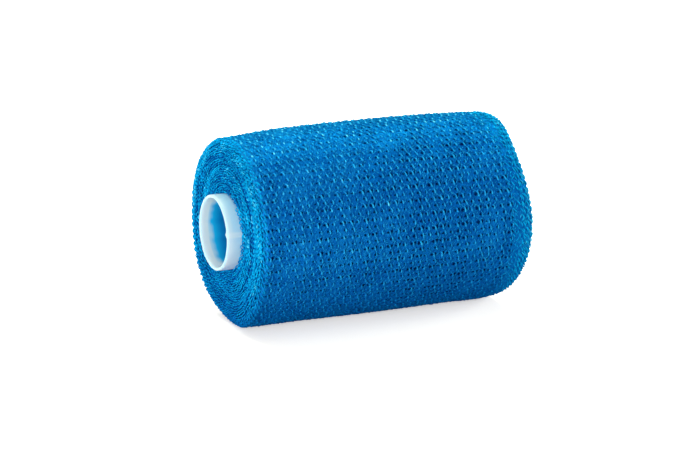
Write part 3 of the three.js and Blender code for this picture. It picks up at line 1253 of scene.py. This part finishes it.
class CASTROLL_OT_inner_turns(bpy.types.Operator):
    """Make the body of the turns under the outer wrap"""

    bl_idname = "castroll.inner_turns"
    bl_label = "Inner turns"

    def execute(self, context):
        points, quads, shade = inner_turns(surface())
        piece = new_piece("inner_turns", points, [quads])
        set_attribute(piece, "shade", shade)
        finish_piece(piece, materials(context)["inner_turns_yarn"], ["tape_roll"])
        return {"FINISHED"}


class CASTROLL_OT_outer_wrap(bpy.types.Operator):
    """Knit the outer wrap: the open and close courses of stitches and the inlay yarns"""

    bl_idname = "castroll.outer_wrap"
    bl_label = "Outer wrap"

    def execute(self, context):
        sizes = context.scene.casting_roll_sizes
        rng = np.random.default_rng(sizes.seed)
        roll = surface()
        inlay = inlays(sizes, roll, rng)
        half = len(inlay[0]) // 2
        made = {
            "stitches_open": (stitches(sizes, roll, OPEN_STITCH, 0, rng), ROUND),
            "stitches_close": (stitches(sizes, roll, CLOSE_STITCH, 1, rng), ROUND),
            "strands_open": (links(sizes, roll, 0, rng), FINE),
            "strands_close": (links(sizes, roll, 1, rng), FINE),
            "inlay_yarns_back": (tuple(values[:half] for values in inlay), FLAT, 1, 12),
            "inlay_yarns_front": (tuple(values[half:] for values in inlay), FLAT, 1, 12),
        }
        for name, parts in made.items():
            piece = strand_piece(name, *parts)
            finish_piece(piece, materials(context)["resin_yarn"])
        return {"FINISHED"}


class CASTROLL_OT_edges(bpy.types.Operator):
    """Make the selvedge stitches and the edge loops of every turn on the two ends"""

    bl_idname = "castroll.edges"
    bl_label = "Turn edges"

    def execute(self, context):
        sizes = context.scene.casting_roll_sizes
        for number, end in enumerate(("near", "far")):
            rng = np.random.default_rng(sizes.seed + 20 + number)
            loops = edge_loops(sizes, surface(), end, rng)
            border = with_points(selvedge_stitches(sizes, surface(), end, rng), len(EDGE_LOOP))
            rim = with_points(rim_loops(sizes, surface(), end, rng), len(EDGE_LOOP))
            piece = strand_piece("edges_" + end, joined(border, rim, loops), FINE)
            finish_piece(piece, materials(context)["edge_yarn"])
        return {"FINISHED"}


class CASTROLL_OT_core(bpy.types.Operator):
    """Make the plastic core tube"""

    bl_idname = "castroll.core"
    bl_label = "Core tube"

    def execute(self, context):
        points, quads, tint = core_mesh(context.scene.casting_roll_sizes, surface())
        piece = new_piece("core", points, [quads])
        set_attribute(piece, "tint", tint)
        finish_piece(piece, materials(context)["core_wall_plastic"], ["core_tube"])
        return {"FINISHED"}


class CASTROLL_OT_stage(bpy.types.Operator):
    """Set up the floor, the lamps, the world and the camera"""

    bl_idname = "castroll.stage"
    bl_label = "Stage"

    def execute(self, context):
        corners = [(x * FLOOR_HALF, y * FLOOR_HALF, 0.0) for x, y in ((-1, -1), (1, -1), (1, 1), (-1, 1))]
        floor = new_piece("floor", corners, [np.array([[0, 1, 2, 3]])], smooth=False)
        floor.data.materials.append(floor_material())
        context.scene.world = bpy.data.worlds.new("world")
        sky = Nodes(context.scene.world)
        strength = seen_strength(sky, WORLD_EXTRA_SEEN, WORLD_LIGHT)
        sky.feed(sky.tree.nodes["Background"], {"Color": WORLD_COLOUR, "Strength": strength})
        for name, lamp in LAMPS.items():
            add_lamp(name, *lamp)
        context.scene.view_settings.view_transform = "Standard"
        add_camera()
        return {"FINISHED"}


class CASTROLL_PT_panel(bpy.types.Panel):
    """The steps that dress the roll, with its sizes and colours"""

    bl_idname = "CASTROLL_PT_panel"
    bl_label = "Casting tape roll"
    bl_space_type = "VIEW_3D"
    bl_region_type = "UI"
    bl_category = "Casting Roll"

    def draw(self, context):
        layout = self.layout
        for group in (context.scene.casting_roll_sizes, context.scene.casting_roll_colours):
            box = layout.box()
            for name in group.__annotations__:
                box.prop(group, name)
        for operator in STEPS:
            layout.operator(operator.bl_idname)


STEPS = (
    CASTROLL_OT_inner_turns,
    CASTROLL_OT_outer_wrap,
    CASTROLL_OT_edges,
    CASTROLL_OT_core,
    CASTROLL_OT_stage,
)
CLASSES = (CastingRollSizes, CastingRollColours, *STEPS, CASTROLL_PT_panel)


def register():
    """Register the classes, and give every scene the sizes and colours."""
    for cls in CLASSES:
        bpy.utils.register_class(cls)
    bpy.types.Scene.casting_roll_sizes = bpy.props.PointerProperty(type=CastingRollSizes)
    bpy.types.Scene.casting_roll_colours = bpy.props.PointerProperty(type=CastingRollColours)


def unregister():
    """Take away what register adds."""
    del bpy.types.Scene.casting_roll_colours
    del bpy.types.Scene.casting_roll_sizes
    for cls in reversed(CLASSES):
        bpy.utils.unregister_class(cls)


def main():
    """Make the pieces and the stage."""
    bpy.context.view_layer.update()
    register()
    bpy.ops.castroll.inner_turns()
    bpy.ops.castroll.outer_wrap()
    bpy.ops.castroll.edges()
    bpy.ops.castroll.core()
    bpy.ops.castroll.stage()
    bpy.context.view_layer.update()


if __name__ == "__main__":
    main()
